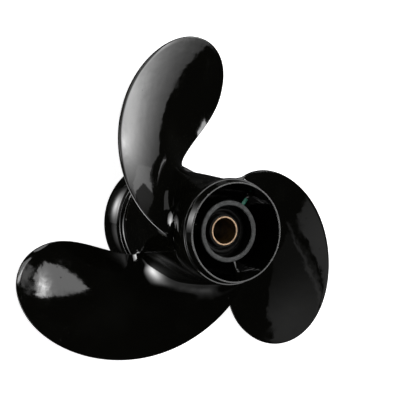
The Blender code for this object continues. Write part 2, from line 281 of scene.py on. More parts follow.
def mixed(tree, mask, colour, other):
    """The first colour where the mask is 0 and the other where it is 1."""
    mix = fed(tree, "ShaderNodeMix", mask, settings={"data_type": "RGBA"})
    for place, source in ((mix.inputs[6], colour), (mix.inputs[7], other)):
        if isinstance(source, bpy.types.NodeSocket):
            tree.links.new(source, place)
        else:
            place.default_value = (*source, 1.0)
    return mix.outputs[2]


def node_group(name, kind, inputs, outputs):
    """A node group with these named sockets, and its inner ends."""
    group = bpy.data.node_groups.new(name, kind)
    for label, kind in inputs.items():
        group.interface.new_socket(label, in_out="INPUT", socket_type="NodeSocket" + kind)
    for label, kind in outputs.items():
        group.interface.new_socket(label, in_out="OUTPUT", socket_type="NodeSocket" + kind)
    return group, group.nodes.new("NodeGroupInput").outputs, group.nodes.new("NodeGroupOutput").inputs


def patches_group():
    """Soft patches of this size, 0 to 1, that stay fixed in the casting."""
    group, given, made = node_group(
        "patches", "ShaderNodeTree",
        {"Vector": "Vector", "Size": "Float", "Low": "Float", "High": "Float"}, {"Mask": "Float"})
    noise = fed(group, "ShaderNodeTexNoise", Vector=given["Vector"], Detail=2.0,
                Scale=math_node(group, "DIVIDE", 1.0, given["Size"]))
    field = fed(group, "ShaderNodeMapRange", Value=noise.outputs[0],
                From_Min=given["Low"], From_Max=given["High"])
    group.links.new(field.outputs[0], made["Mask"])
    return group


def patched(tree, place, size, low=0.0, high=1.0):
    """The mask of a patches node in this tree."""
    return fed(tree, "ShaderNodeGroup", settings={"node_tree": patches},
               Vector=place, Size=size, Low=low, High=high).outputs["Mask"]


def enamel_group():
    """Gloss black enamel: waves of the casting, orange peel, dust nibs and smudges."""
    group, given, made = node_group("enamel_look", "ShaderNodeTree", {"Vector": "Vector"}, {
        "Color": "Color", "Roughness": "Float", "Height": "Float"})
    place = given["Vector"]
    height = math_node(group, "MULTIPLY", patched(group, place, WAVE_SIZE), WAVE_DEPTH)
    for size, depth in ((RIPPLE_SIZE, RIPPLE_DEPTH), (PEEL_SIZE, PEEL_DEPTH)):
        height = math_node(group, "MULTIPLY_ADD", patched(group, place, size), depth, height)
    nib = fed(group, "ShaderNodeTexVoronoi", Vector=place, Scale=1.0 / NIB_SPACING)
    nibs = ramped(group, nib.outputs["Distance"], NIB_RADIUS / NIB_SPACING, 0.0)
    height = math_node(group, "MULTIPLY_ADD", nibs, NIB_HEIGHT, height)
    smudge = math_node(group, "MULTIPLY", patched(group, place, SMUDGE_SIZE, 0.45, 0.75),
                       patched(group, place, 0.3 * SMUDGE_SIZE, 0.3, 0.7))
    rough = math_node(group, "MULTIPLY_ADD", smudge, SMUDGED_ROUGHNESS, ENAMEL_ROUGHNESS)
    dusty = patched(group, place, DUST_SIZE, 0.50, 0.80)
    group.links.new(mixed(group, dusty, ENAMEL_BLACK, ENAMEL_DUSTY), made["Color"])
    group.links.new(rough, made["Roughness"])
    group.links.new(height, made["Height"])
    return group


def started(name):
    """A new material with its nodes, its shader and places in metres in the propeller's frame."""
    material = bpy.data.materials.new(name)
    material.use_nodes = True
    tree = material.node_tree
    place = tree.nodes.new("ShaderNodeTexCoord").outputs["Object"]
    return material, tree, tree.nodes["Principled BSDF"], place


def enamelled(name):
    """A new material as started makes it, and the enamel's look, not yet joined."""
    material, tree, shader, place = started(name)
    look = fed(tree, "ShaderNodeGroup", settings={"node_tree": enamel_look}, Vector=place)
    return material, tree, shader, place, look.outputs


def joined(tree, shader, colour, rough, height, metal=None):
    """Feed the shader these looks, with the height, in metres, as bump."""
    bump = fed(tree, "ShaderNodeBump", Strength=1.0, Distance=1.0, Height=height)
    tree.links.new(colour, shader.inputs["Base Color"])
    tree.links.new(rough, shader.inputs["Roughness"])
    tree.links.new(bump.outputs["Normal"], shader.inputs["Normal"])
    if metal is not None:
        tree.links.new(metal, shader.inputs["Metallic"])


patches = patches_group()
enamel_look = enamel_group()
black_enamel, tree, shader, place, look = enamelled("black_enamel")
height_up = fed(tree, "ShaderNodeSeparateXYZ", place).outputs["Z"]
worn_front = ramped(tree, height_up, WORN_HEIGHT, 0.0)
worn_aft = ramped(tree, height_up, BARREL_LENGTH - WORN_LIP_HEIGHT, BARREL_LENGTH)
worn = math_node(tree, "MULTIPLY", math_node(tree, "MAXIMUM", worn_front, worn_aft),
                 patched(tree, place, WORN_SIZE, 0.52, 0.62))
joined(tree, shader, mixed(tree, worn, look["Color"], WORN_COLOUR),
       math_node(tree, "MULTIPLY_ADD", worn, WORN_ROUGHNESS, look["Roughness"]), look["Height"])

lip = [(BARREL_BORE_RADIUS, BARREL_LENGTH), (LIP_RADIUS, BARREL_LENGTH)]
rim = [(RIM_RADIUS, 0.0), (BELL_BORE_RADIUS, 0.0)]
outside = barrel_outside()
inside = barrel_inside()
whole = lip + outside + rim + inside
corners = {0: LIP_BORE_ROUND, 1: LIP_OUTER_ROUND,
           len(outside) + 2: RIM_EDGE_ROUND, len(outside) + 3: RIM_EDGE_ROUND}
barrel_mesh = turned_mesh("barrel_casting", softened(whole, corners), BARREL_STEPS)
finished("barrel_casting", barrel_mesh, black_enamel, "black_paint", "barrel")


# Blades: three right-hand blades cast with the barrel. Each aft face lies on a helix, the
# thickness is on the forward side, and large ground fillets run into the barrel. A node
# tree turns the first blade round the shaft for the others, as the pattern maker does.
BLADE_COUNT = 3
TIP_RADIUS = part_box("blade_1")[1].y
ROOT_RADIUS = 30.5 * MM
SWEEP_DEGREES = (148.5, 124.0, 108.0, 104.0, 94.5, 90.0)
HALF_CHORDS = (25.0 * MM, 40.5 * MM, 58.5 * MM, 63.5 * MM, 66.5 * MM)
ROOT_PITCH = 202.0 * MM
TIP_PITCH = 185.0 * MM
ROOT_MIDDLE_Z = 59.7 * MM
ROOT_THICKNESS = 8.5 * MM
TIP_THICKNESS = 2.2 * MM
EDGE_THICKNESS = 1.4 * MM
LAST_RADIUS = TIP_RADIUS - 0.5 * EDGE_THICKNESS
CROWN_FADE = 24
AFT_FILLETS = ((3.5 * MM, 1.0), (8.5 * MM, 0.68), (8.3 * MM, 0.3), (10.5 * MM, 0.0),
               (15.8 * MM, -0.32), (15.8 * MM, -0.6), (12.0 * MM, -0.8), (7.5 * MM, -1.0))
FORWARD_FILLET = 9.0 * MM
FORWARD_EDGE_FILLET = 6.0 * MM
PARTING_Z = 81.0 * MM
EASED_WIDTH = 2.2 * MM
EASED_DEPTH = 0.35 * MM
EASED_FADE = 5.0
LEADING_EASE = (0.58, 0.74)
TRAILING_EASE = (0.22, 0.5)
FILLET_ROWS = 16
FILLET_ROW_SPREAD = 1.4
FILLET_CELLS = 12
FITTING_ROUNDS = 12
SPAN_ROWS = 84
CHORD_CELLS = 64
EDGE_ARC_CELLS = 8
TRAILING_SINK = 0.1
SKIRT = 1.0 * MM
SKIRT_SINK = 0.015 * MM
ROOT_DEPTH = 1.5 * MM
PARTING_SINK = 0.5 * MM
MERGE_DISTANCE = 0.004 * MM


def bezier(controls, t):
    """Value at t of the Bezier curve with these control values."""
    degree = len(controls) - 1
    return sum(math.comb(degree, i) * t ** i * (1 - t) ** (degree - i) * value
               for i, value in enumerate(controls))


def wrapped(radius, angle, z):
    return Vector((radius * math.cos(angle), radius * math.sin(angle), z))


def span_share(radius):
    """0 at the blade's root and 1 at the last row before its tip."""
    return min(max((radius - ROOT_RADIUS) / (LAST_RADIUS - ROOT_RADIUS), 0.0), 1.0)


def blade_point(radius, across, forward=0.0, along=0.0):
    """A point of the first blade's section on the cylinder of this radius.

    across runs over the aft face from -1 at the leading edge to 1 at the trailing edge.
    forward and along then move the point square to the helix and along it.
    """
    t = span_share(radius)
    half_chord = math.sqrt(1.0 - t * t) * (bezier(HALF_CHORDS, t) - 0.5 * EDGE_THICKNESS)
    angle = math.radians(bezier(SWEEP_DEGREES, t)) + across * half_chord / radius
    pitch = ROOT_PITCH + (TIP_PITCH - ROOT_PITCH) * t
    slope = pitch / (2.0 * math.pi * radius)
    z = ROOT_MIDDLE_Z + radius * slope * (angle - math.radians(SWEEP_DEGREES[0]))
    length = math.hypot(1.0, slope)
    angle += (forward * slope + along) / (length * radius)
    z += (along * slope - forward) / length
    return wrapped(radius, angle, z)


def section_thickness(radius, across):
    """Thickness of the blade: crowned over the chord, and even at the very tip."""
    share = span_share(radius)
    thickest = ROOT_THICKNESS + (TIP_THICKNESS - ROOT_THICKNESS) * math.sqrt(share)
    crown = (1.0 - across * across) * (1.0 - share ** CROWN_FADE)
    return EDGE_THICKNESS + (thickest - EDGE_THICKNESS) * crown


def eased_depth(radius, across):
    """How far the aft face has rolled forward at this side's edge; none at root and tip."""
    t = span_share(radius)
    start, full = LEADING_EASE if across < 0.0 else TRAILING_EASE
    part = min(max((t - start) / (full - start), 0.0), 1.0)
    return EASED_DEPTH * part * part * (3.0 - 2.0 * part) * (1.0 - t ** EASED_FADE)


def edge_ease(radius, across):
    """How far the aft face rolls forward here, near the blade's edge."""
    t = span_share(radius)
    x = across * math.sqrt(1.0 - t * t)
    reached = math.hypot(x, t)
    slope = math.hypot(x / bezier(HALF_CHORDS, t), t / (TIP_RADIUS - ROOT_RADIUS))
    from_edge = (1.0 - reached) * reached / max(slope, 1.0)
    return eased_depth(radius, across) * max(0.0, 1.0 - from_edge / EASED_WIDTH) ** 2


def edge_outward(radius, side):
    """Unit vector in the blade's face, square to its edge and pointing off the blade."""
    here = blade_point(radius, side)
    if span_share(radius) >= 1.0:
        return Vector((here.x, here.y, 0.0)).normalized()
    step = 0.02 * MM
    tangent = blade_point(min(radius + step, LAST_RADIUS), side) - blade_point(radius - step, side)
    tangent.normalize()
    outward = here - blade_point(radius, 0.9 * side)
    outward -= tangent * outward.dot(tangent)
    return outward.normalized()


aft_fillets = smooth_through(AFT_FILLETS, FILLET_CELLS)


def face_column(across, forward_side):
    """One line of the blade from root to tip, on its aft or forward face."""
    sink = 0.0
    if forward_side:
        reach = FORWARD_EDGE_FILLET + (FORWARD_FILLET - FORWARD_EDGE_FILLET) * (1 - across ** 2)
    else:
        reach = value_on(aft_fillets, across)
        if across > 0.0:
            sink = TRAILING_SINK * reach * across * across * (3.0 - 2.0 * across)

    def place(radius, growth):
        if forward_side:
            return blade_point(radius, across, section_thickness(radius, across) + growth)
        return blade_point(radius, across, edge_ease(radius, across) - growth)
    return reach, sink, place


def edge_column(side, cell):
    """One line of the round edge from root to tip; side is -1 leading or 1 trailing."""
    aft_reach = value_on(aft_fillets, side)
    reach = aft_reach + (FORWARD_EDGE_FILLET - aft_reach) * cell / EDGE_ARC_CELLS

    def place(radius, growth):
        depth = eased_depth(radius, side)
        half = 0.5 * (EDGE_THICKNESS - depth)
        turn = 2.0 * depth / EASED_WIDTH
        turn += (math.pi - turn) * cell / EDGE_ARC_CELLS
        forward = EDGE_THICKNESS - half - (half + growth) * math.cos(turn)
        along = side * growth * math.sin(turn)
        point = blade_point(radius, side, forward, along)
        return point + edge_outward(radius, side) * (half * math.sin(turn))
    return reach, 0.0, place


def radius_above(place, growth, clearance, start):
    """Radius at which a column's point stands this far above the barrel's surface."""
    radius = start
    for _ in range(FITTING_ROUNDS):
        radius = value_on(outside, place(radius, growth).z) + clearance
    return radius


def column_points(reach, sink, place):
    """The column's points: sunk root, skirt on the barrel, round fillet, and the span."""
    base = WAIST_MIDDLE_RADIUS
    growth = reach + SKIRT
    points = [place(radius_above(place, 0.0, -ROOT_DEPTH, base), 0.0),
              place(radius_above(place, growth, -SKIRT_SINK - sink, base), growth)]
    for row in range(FILLET_ROWS + 1):
        turn = 0.5 * math.pi * (row / FILLET_ROWS) ** FILLET_ROW_SPREAD
        growth = reach * (1.0 - math.sin(turn))
        clearance = reach * (1.0 - math.cos(turn)) - sink * math.cos(turn)
        base = radius_above(place, growth, clearance, base)
        points.append(place(base, growth))
    for i, point in enumerate(points):
        if point.z > PARTING_Z:
            inward = 1.0 - (PARTING_SINK if i < 2 else 0.0) / math.hypot(point.x, point.y)
            points[i] = Vector((point.x * inward, point.y * inward, PARTING_Z))
    for row in range(1, SPAN_ROWS + 1):
        radius = base + (LAST_RADIUS - base) * math.sin(0.5 * math.pi * row / SPAN_ROWS)
        points.append(place(min(radius, LAST_RADIUS), 0.0))
    return points


def closed_mesh(name, skin):
    """The mesh of a closed skin, with its faces turned outwards."""
    bmesh.ops.recalc_face_normals(skin, faces=list(skin.faces))
    mesh = bpy.data.meshes.new(name)
    skin.to_mesh(mesh)
    skin.free()
    return mesh


def blade_mesh(name):
    """The first blade as a closed skin from inside the barrel's wall to its tip."""
    turns = [-math.cos(math.pi * cell / CHORD_CELLS) for cell in range(1, CHORD_CELLS)]
    aft = [face_column(across, False) for across in turns]
    forward = [face_column(across, True) for across in reversed(turns)]
    trailing = [edge_column(1.0, cell) for cell in range(EDGE_ARC_CELLS + 1)]
    leading = [edge_column(-1.0, cell) for cell in reversed(range(EDGE_ARC_CELLS + 1))]
    skin = bmesh.new()
    columns = []
    for reach, sink, place in aft + trailing + forward + leading:
        columns.append([skin.verts.new(point) for point in column_points(reach, sink, place)])
    for here, there in zip(columns, columns[1:] + columns[:1]):
        for low in range(len(here) - 1):
            skin.faces.new((here[low], there[low], there[low + 1], here[low + 1]))
    roots = [column[0] for column in columns]
    faces = len(turns)
    for i in range(faces - 1):
        facing = 2 * faces + EDGE_ARC_CELLS - i
        skin.faces.new((roots[i], roots[facing], roots[facing - 1], roots[i + 1]))
    skin.faces.new(roots[faces - 1:faces + EDGE_ARC_CELLS + 2][::-1])
    skin.faces.new((roots[2 * faces + EDGE_ARC_CELLS:] + roots[:1])[::-1])
    bmesh.ops.remove_doubles(skin, verts=list(skin.verts), dist=MERGE_DISTANCE)
    return closed_mesh(name, skin)


def turning_tree():
    """Node tree that sets copies of a mesh at even turns round the shaft."""
    tree, given, made = node_group(
        "turned_round_the_shaft", "GeometryNodeTree",
        {"Geometry": "Geometry", "Count": "Int", "First Turn": "Float", "Material": "Material"},
        {"Geometry": "Geometry"})
    share = math_node(tree, "DIVIDE", tree.nodes.new("GeometryNodeInputIndex").outputs["Index"],
                      given["Count"])
    turn = math_node(tree, "MULTIPLY_ADD", share, 2.0 * math.pi, given["First Turn"])
    about = fed(tree, "ShaderNodeCombineXYZ", Z=turn).outputs["Vector"]
    copies = fed(tree, "GeometryNodeInstanceOnPoints", Instance=given["Geometry"],
                 Points=fed(tree, "GeometryNodePoints", given["Count"]).outputs["Points"],
                 Rotation=fed(tree, "FunctionNodeEulerToRotation", about).outputs["Rotation"])
    real = fed(tree, "GeometryNodeRealizeInstances", copies.outputs["Instances"])
    painted = fed(tree, "GeometryNodeSetMaterial", Geometry=real.outputs["Geometry"],
                  Material=given["Material"])
    tree.links.new(painted.outputs["Geometry"], made["Geometry"])
    return tree


def made_by_nodes(mesh, tree, values):
    """The plain mesh that a node tree makes from this mesh with these named inputs."""
    maker = bpy.data.objects.new(mesh.name, mesh)
    bpy.context.scene.collection.objects.link(maker)
    modifier = maker.modifiers.new(tree.name, "NODES")
    modifier.node_group = tree
    for socket in tree.interface.items_tree:
        if socket.in_out == "INPUT" and socket.name in values:
            modifier[socket.identifier] = values[socket.name]
    bpy.context.view_layer.update()
    graph = bpy.context.evaluated_depsgraph_get()
    made = bpy.data.meshes.new_from_object(maker.evaluated_get(graph))
    made.name = mesh.name
    maker.modifiers.clear()
    bpy.data.objects.remove(maker)
    return made


round_the_shaft = turning_tree()
blade_turns = {"Count": BLADE_COUNT, "First Turn": 0.0, "Material": black_enamel}
blades_mesh = made_by_nodes(blade_mesh("cast_blades"), round_the_shaft, blade_turns)
finished("cast_blades", blades_mesh, black_enamel, "black_paint",
         "blade_1", "blade_2", "blade_3", sharp_degrees=42.0)


# Parting line: the fine ridge that the mould's halves left on the barrel. It starts at a
# blade's leading root, runs aft and then round the barrel to the next blade.
SEAM_PATH = ((214.4, 33.3 * MM), (212.8, 44.0 * MM), (210.7, 57.0 * MM), (208.6, 69.0 * MM),
             (206.9, 78.6 * MM), (204.8, 80.4 * MM), (200.0, 80.7 * MM), (187.0, 80.8 * MM))
SEAM_HALF_WIDTH = 0.32 * MM
SEAM_HEIGHT = 0.16 * MM
SEAM_END = 0.15
SEAM_END_RISE = 0.2
SEAM_STEPS = 12
SEAM_SIDES = 8


def tube_mesh(name, rings):
    """A closed tube through these rings of points, with a face over each end."""
    skin = bmesh.new()
    rows = [[skin.verts.new(point) for point in ring] for ring in rings]
    for here, there in zip(rows, rows[1:]):
        for i in range(len(here)):
            j = (i + 1) % len(here)
            skin.faces.new((here[i], here[j], there[j], there[i]))
    skin.faces.new(rows[0][::-1])
    skin.faces.new(rows[-1])
    return closed_mesh(name, skin)


def seam_mesh(name):
    """One ridge along the seam's path, as a closed tube half sunk in the barrel."""
    path = smooth_through(SEAM_PATH, SEAM_STEPS)
    spine = [wrapped(value_on(outside, z), math.radians(angle), z) for angle, z in path]
    turns = [2.0 * math.pi * corner / SEAM_SIDES for corner in range(SEAM_SIDES)]
    last = len(spine) - 1
    rings = []
    for i, point in enumerate(spine):
        along = (spine[min(i + 1, last)] - spine[max(i - 1, 0)]).normalized()
        out = Vector((point.x, point.y, 0.0)).normalized()
        side = along.cross(out).normalized()
        taper = min(1.0, SEAM_END + SEAM_END_RISE * min(i, last - i))
        rings.append([point + side * (SEAM_HALF_WIDTH * taper * math.cos(turn))
                      + out * (SEAM_HEIGHT * taper * math.sin(turn)) for turn in turns])
    return tube_mesh(name, rings)


seams_mesh = made_by_nodes(seam_mesh("parting_lines"), round_the_shaft, blade_turns)
finished("parting_lines", seams_mesh, black_enamel, "black_paint", sharp_degrees=80.0)


# Inner hub: the tube in the middle of the casting that the bushing is pressed into. Its
# outside is painted, and its aft end is left as rough grey metal.
HUB_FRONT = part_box("inner_hub")[0].z
HUB_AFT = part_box("inner_hub")[1].z
HUB_AFT_RADIUS = 18.8 * MM
HUB_FRONT_RADIUS = 19.6 * MM
HUB_BORE_RADIUS = 15.7 * MM
THRUST_SHOULDER = 8.0 * MM
THRUST_BORE_RADIUS = 11.6 * MM
HUB_CHAMFER = 0.6 * MM
HUB_AFT_ROUND = 0.7 * MM
THRUST_FILLET = 0.3 * MM
HUB_STEPS = 192
BARE_DEPTH = 0.7 * MM
PAINT_RAGGED = 0.3 * MM
PAINT_RAGGED_SIZE = 1.5 * MM
PAINT_EDGE = 0.08 * MM
METAL_DARK = (0.032, 0.033, 0.033)
METAL_LIGHT = (0.062, 0.064, 0.064)
METAL_PIT = (0.016, 0.016, 0.016)
METAL_PATCH_SIZE = 3.0 * MM
METAL_PIT_SIZE = 0.7 * MM
METAL_GRAIN_SIZE = 0.6 * MM
METAL_GRAIN = 0.03 * MM
METAL_ROUGHNESS = 0.45
METAL_SHINE = 0.5

cast_metal, tree, shader, place, look = enamelled("cast_metal")
height_up = fed(tree, "ShaderNodeSeparateXYZ", place).outputs["Z"]
ragged = math_node(tree, "MULTIPLY_ADD", patched(tree, place, PAINT_RAGGED_SIZE), PAINT_RAGGED,
                   height_up)
bare_from = HUB_AFT - BARE_DEPTH + 0.5 * PAINT_RAGGED
bare = ramped(tree, ragged, bare_from, bare_from + PAINT_EDGE)
grey = mixed(tree, patched(tree, place, METAL_PATCH_SIZE, 0.35, 0.65), METAL_DARK, METAL_LIGHT)
pitted = mixed(tree, patched(tree, place, METAL_PIT_SIZE, 0.56, 0.66), grey, METAL_PIT)
metal_height = math_node(tree, "MULTIPLY", patched(tree, place, METAL_GRAIN_SIZE), METAL_GRAIN)
joined(tree, shader, mixed(tree, bare, look["Color"], pitted),
       math_node(tree, "MULTIPLY_ADD", bare, METAL_ROUGHNESS, look["Roughness"]),
       math_node(tree, "MULTIPLY_ADD", bare, metal_height, look["Height"]),
       math_node(tree, "MULTIPLY", bare, METAL_SHINE))

step_z = HUB_FRONT + THRUST_SHOULDER
hub_line = [(HUB_AFT_RADIUS, HUB_AFT), (HUB_FRONT_RADIUS, HUB_FRONT),
            (THRUST_BORE_RADIUS, HUB_FRONT), (THRUST_BORE_RADIUS, step_z),
            (HUB_BORE_RADIUS, step_z), (HUB_BORE_RADIUS, HUB_AFT)]
hub_corners = {0: HUB_AFT_ROUND, 1: HUB_CHAMFER, 2: HUB_CHAMFER, 3: THRUST_FILLET,
               5: HUB_CHAMFER}
hub_mesh = turned_mesh("hub_casting", softened(hub_line, hub_corners), HUB_STEPS)
finished("hub_casting", hub_mesh, cast_metal, "cast_metal", "inner_hub")


# Ribs: three plates of the casting that carry the inner hub in the barrel. Each thickens
# where it runs into the hub and the barrel, and its aft edge is round.
RIB_COUNT = 3
RIB_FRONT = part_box("rib_1")[0].z
RIB_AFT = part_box("rib_1")[1].z
RIB_THICKNESS = 3.2 * MM
RIB_FIRST_ANGLE = math.radians(56.0)
RIB_HUB_FILLET = 1.6 * MM
RIB_BARREL_FILLET = 3.2 * MM
RIB_BARREL_RISE = 4.0 * MM
RIB_EDGE_ROUND = 0.9 * MM
RIB_EDGE_SQUARE = 0.65
RIB_INTO_WALL = 0.6 * MM
RIB_CELLS = 26
RIB_EDGE_CELLS = 8
RIB_HEIGHT_CELLS = 14
DAB_START = 19.3 * MM
DAB_END = 25.0 * MM
DAB_WIDTH = 2.6 * MM
DAB_SOFT = 0.15 * MM
DAB_RAGGED = 0.5 * MM
DAB_RAGGED_SIZE = 1.3 * MM
DAB_DEPTH = 0.8 * MM
DAB_RISE = 0.05 * MM
DAB_ROUGHNESS = 0.35
DAB_MOTTLE_SIZE = 1.0 * MM
DAB_DARK = (0.010, 0.085, 0.055)
DAB_LIGHT = (0.025, 0.19, 0.125)


def fillet_growth(clearance, reach):
    """How far a round fillet of this reach stands out at this distance from its wall."""
    inward = min(max(reach - clearance, 0.0), reach)
    return reach - math.sqrt(reach ** 2 - inward ** 2)


def rib_loop(share):
    """The rib's outline at this share of the way from the hub to the barrel."""
    loop = []
    heights = [RIB_FRONT + (RIB_AFT - RIB_EDGE_ROUND - RIB_FRONT) * row / RIB_HEIGHT_CELLS
               for row in range(RIB_HEIGHT_CELLS + 1)]
    for z in heights:
        hub = HUB_FRONT_RADIUS + (HUB_AFT_RADIUS - HUB_FRONT_RADIUS) * (
            (z - HUB_FRONT) / (HUB_AFT - HUB_FRONT)) - RIB_INTO_WALL
        wall = value_on(inside[::-1], z) + RIB_INTO_WALL
        x = hub + (wall - hub) * share
        half = 0.5 * RIB_THICKNESS
        half += fillet_growth(x - hub - RIB_INTO_WALL, RIB_HUB_FILLET)
        half += fillet_growth(wall - RIB_INTO_WALL - x, RIB_BARREL_FILLET)
        rise = fillet_growth(wall - RIB_INTO_WALL - x, RIB_BARREL_RISE)
        loop.append(Vector((x, half, z + rise)))
    top = loop[-1]
    for cell in range(1, RIB_EDGE_CELLS):
        turn = math.pi * cell / RIB_EDGE_CELLS
        across = math.copysign(abs(math.cos(turn)) ** RIB_EDGE_SQUARE, math.cos(turn))
        loop.append(Vector((top.x, top.y * across,
                            top.z + RIB_EDGE_ROUND * math.sin(turn) ** RIB_EDGE_SQUARE)))
    return loop + [Vector((point.x, -point.y, point.z)) for point in reversed(loop[:len(heights)])]


def rib_mesh(name):
    """One rib on the +X side, as a closed skin whose ends are sunk in hub and barrel."""
    shares = [0.5 - 0.5 * math.cos(math.pi * cell / RIB_CELLS) for cell in range(RIB_CELLS + 1)]
    return tube_mesh(name, [rib_loop(share) for share in shares])


rib_enamel, tree, shader, place, look = enamelled("rib_enamel")
first_rib = Vector((math.cos(RIB_FIRST_ANGLE), math.sin(RIB_FIRST_ANGLE), 0.0))


def along_way(tree, place, way):
    """How far a place lies this way from the origin."""
    return fed(tree, "ShaderNodeVectorMath", place, way,
               settings={"operation": "DOT_PRODUCT"}).outputs["Value"]


ragged = math_node(tree, "MULTIPLY", patched(tree, place, DAB_RAGGED_SIZE), DAB_RAGGED)
outward = math_node(tree, "ADD", ragged, along_way(tree, place, first_rib))
sideways = math_node(tree, "ABSOLUTE", math_node(
    tree, "ADD", ragged, along_way(tree, place, Vector((-first_rib.y, first_rib.x, 0.0)))))
dab = math_node(tree, "MULTIPLY", ramped(tree, outward, DAB_START, DAB_START + DAB_SOFT),
                ramped(tree, outward, DAB_END, DAB_END - DAB_SOFT))
dab = math_node(tree, "MULTIPLY", dab,
                ramped(tree, sideways, 0.5 * DAB_WIDTH, 0.5 * DAB_WIDTH - DAB_SOFT))
dab = math_node(tree, "MULTIPLY", dab, ramped(
    tree, fed(tree, "ShaderNodeSeparateXYZ", place).outputs["Z"],
    RIB_AFT - DAB_DEPTH, RIB_AFT - DAB_DEPTH + DAB_SOFT))
dab_green = mixed(tree, patched(tree, place, DAB_MOTTLE_SIZE, 0.35, 0.65), DAB_DARK, DAB_LIGHT)
joined(tree, shader, mixed(tree, dab, look["Color"], dab_green),
       math_node(tree, "MULTIPLY_ADD", dab, DAB_ROUGHNESS, look["Roughness"]),
       math_node(tree, "MULTIPLY_ADD", dab, DAB_RISE, look["Height"]))

rib_turns = {"Count": RIB_COUNT, "First Turn": RIB_FIRST_ANGLE, "Material": rib_enamel}
ribs_mesh = made_by_nodes(rib_mesh("cast_ribs"), round_the_shaft, rib_turns)
finished("cast_ribs", ribs_mesh, rib_enamel, "black_paint", "rib_1", "rib_2", "rib_3")


# Rubber bushing: vulcanised black rubber between the hub and the sleeve, which takes the
# shocks of the gears. A round bead and a collar show at its aft end.
RUBBER_AFT = 83.2 * MM
RUBBER_RECESS = 82.2 * MM
COLLAR_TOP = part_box("rubber_bushing")[1].z
COLLAR_RADIUS = 10.0 * MM
BEAD_TOP = 85.4 * MM
BEAD_OUTER_RADIUS = 14.5 * MM
BEAD_INNER_RADIUS = 11.0 * MM
BEAD_CELLS = 20
SLEEVE_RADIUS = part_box("brass_sleeve")[1].x
FIT_GAP = 0.05 * MM
RUBBER_BLACK = (0.004, 0.004, 0.0038)
RUBBER_BLOOM = (0.011, 0.011, 0.0105)
RUBBER_ROUGHNESS = 0.45
RUBBER_SHEEN = 0.12
RUBBER_GRAIN = 0.02 * MM
RUBBER_GRAIN_SIZE = 0.8 * MM
RUBBER_WAVES = 0.08 * MM
RUBBER_WAVE_SIZE = 4.0 * MM
BLOOM_SIZE = 2.2 * MM
BLOOM_ROUGHNESS = 0.15
RUBBER_ROUND = 0.3 * MM
COLLAR_ROUND = 0.4 * MM

black_rubber, tree, shader, place = started("black_rubber")
shader.inputs["Specular IOR Level"].default_value = RUBBER_SHEEN
grain = math_node(tree, "MULTIPLY", patched(tree, place, RUBBER_GRAIN_SIZE), RUBBER_GRAIN)
rubber_height = math_node(tree, "MULTIPLY_ADD", patched(tree, place, RUBBER_WAVE_SIZE),
                          RUBBER_WAVES, grain)
bloom = patched(tree, place, BLOOM_SIZE, 0.45, 0.7)
joined(tree, shader, mixed(tree, bloom, RUBBER_BLACK, RUBBER_BLOOM),
       math_node(tree, "MULTIPLY_ADD", bloom, BLOOM_ROUGHNESS, RUBBER_ROUGHNESS), rubber_height)

rubber_outer = HUB_BORE_RADIUS - FIT_GAP
rubber_inner = SLEEVE_RADIUS + FIT_GAP
rubber_front = step_z + FIT_GAP
bead_middle = 0.5 * (BEAD_OUTER_RADIUS + BEAD_INNER_RADIUS)
bead_half = 0.5 * (BEAD_OUTER_RADIUS - BEAD_INNER_RADIUS)
rubber_line = [(rubber_outer, RUBBER_AFT), (rubber_outer, rubber_front),
               (rubber_inner, rubber_front), (rubber_inner, COLLAR_TOP),
               (COLLAR_RADIUS, COLLAR_TOP), (COLLAR_RADIUS, RUBBER_RECESS),
               (BEAD_INNER_RADIUS, RUBBER_RECESS)]
rubber_line = softened(rubber_line, {0: RUBBER_ROUND, 4: COLLAR_ROUND, 5: COLLAR_ROUND,
                                     6: RUBBER_ROUND})
for cell in range(BEAD_CELLS + 1):
    turn = math.pi * cell / BEAD_CELLS
    rubber_line.append((bead_middle - bead_half * math.cos(turn),
                        RUBBER_AFT + (BEAD_TOP - RUBBER_AFT) * math.sin(turn)))
bushing_mesh = turned_mesh("rubber_bushing_moulded", rubber_line, HUB_STEPS)
finished("rubber_bushing_moulded", bushing_mesh, black_rubber, "black_rubber", "rubber_bushing")


# Brass sleeve: the turned bush in the middle that slides on the propeller shaft. Its aft
# rim is bright, and its bore is coloured a duller dark brown from just below the rim inward.
SLEEVE_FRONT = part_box("brass_sleeve")[0].z
SLEEVE_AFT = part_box("brass_sleeve")[1].z
SLEEVE_BORE_RADIUS = 7.7 * MM
SLEEVE_CHAMFER = 0.3 * MM
SLEEVE_STEPS = 160
BRASS_LIGHT = (0.34, 0.235, 0.15)
BRASS_DULL = (0.22, 0.15, 0.10)
BRASS_ROUGHNESS = 0.38
# The bore's wall is coloured a duller, less metallic dark brown from just below the aft rim inward.
DEEP_BORE_DARK = (0.05, 0.028, 0.011)
DEEP_BORE_LIGHTER = (0.10, 0.058, 0.018)
DEEP_BORE_FROM = 0.3 * MM
DEEP_BORE_FULL = 0.6 * MM
DEEP_BORE_REACH = 0.3 * MM
DEEP_BORE_EDGE = 0.1 * MM
DEEP_BORE_PATCH_SIZE = 5.0 * MM
DEEP_BORE_ROUGHNESS = 0.15
DEEP_BORE_METAL = 0.4
TARNISH_SIZE = 1.5 * MM
TURNED_PITCH = 0.12 * MM
TURNED_DEPTH = 0.004 * MM

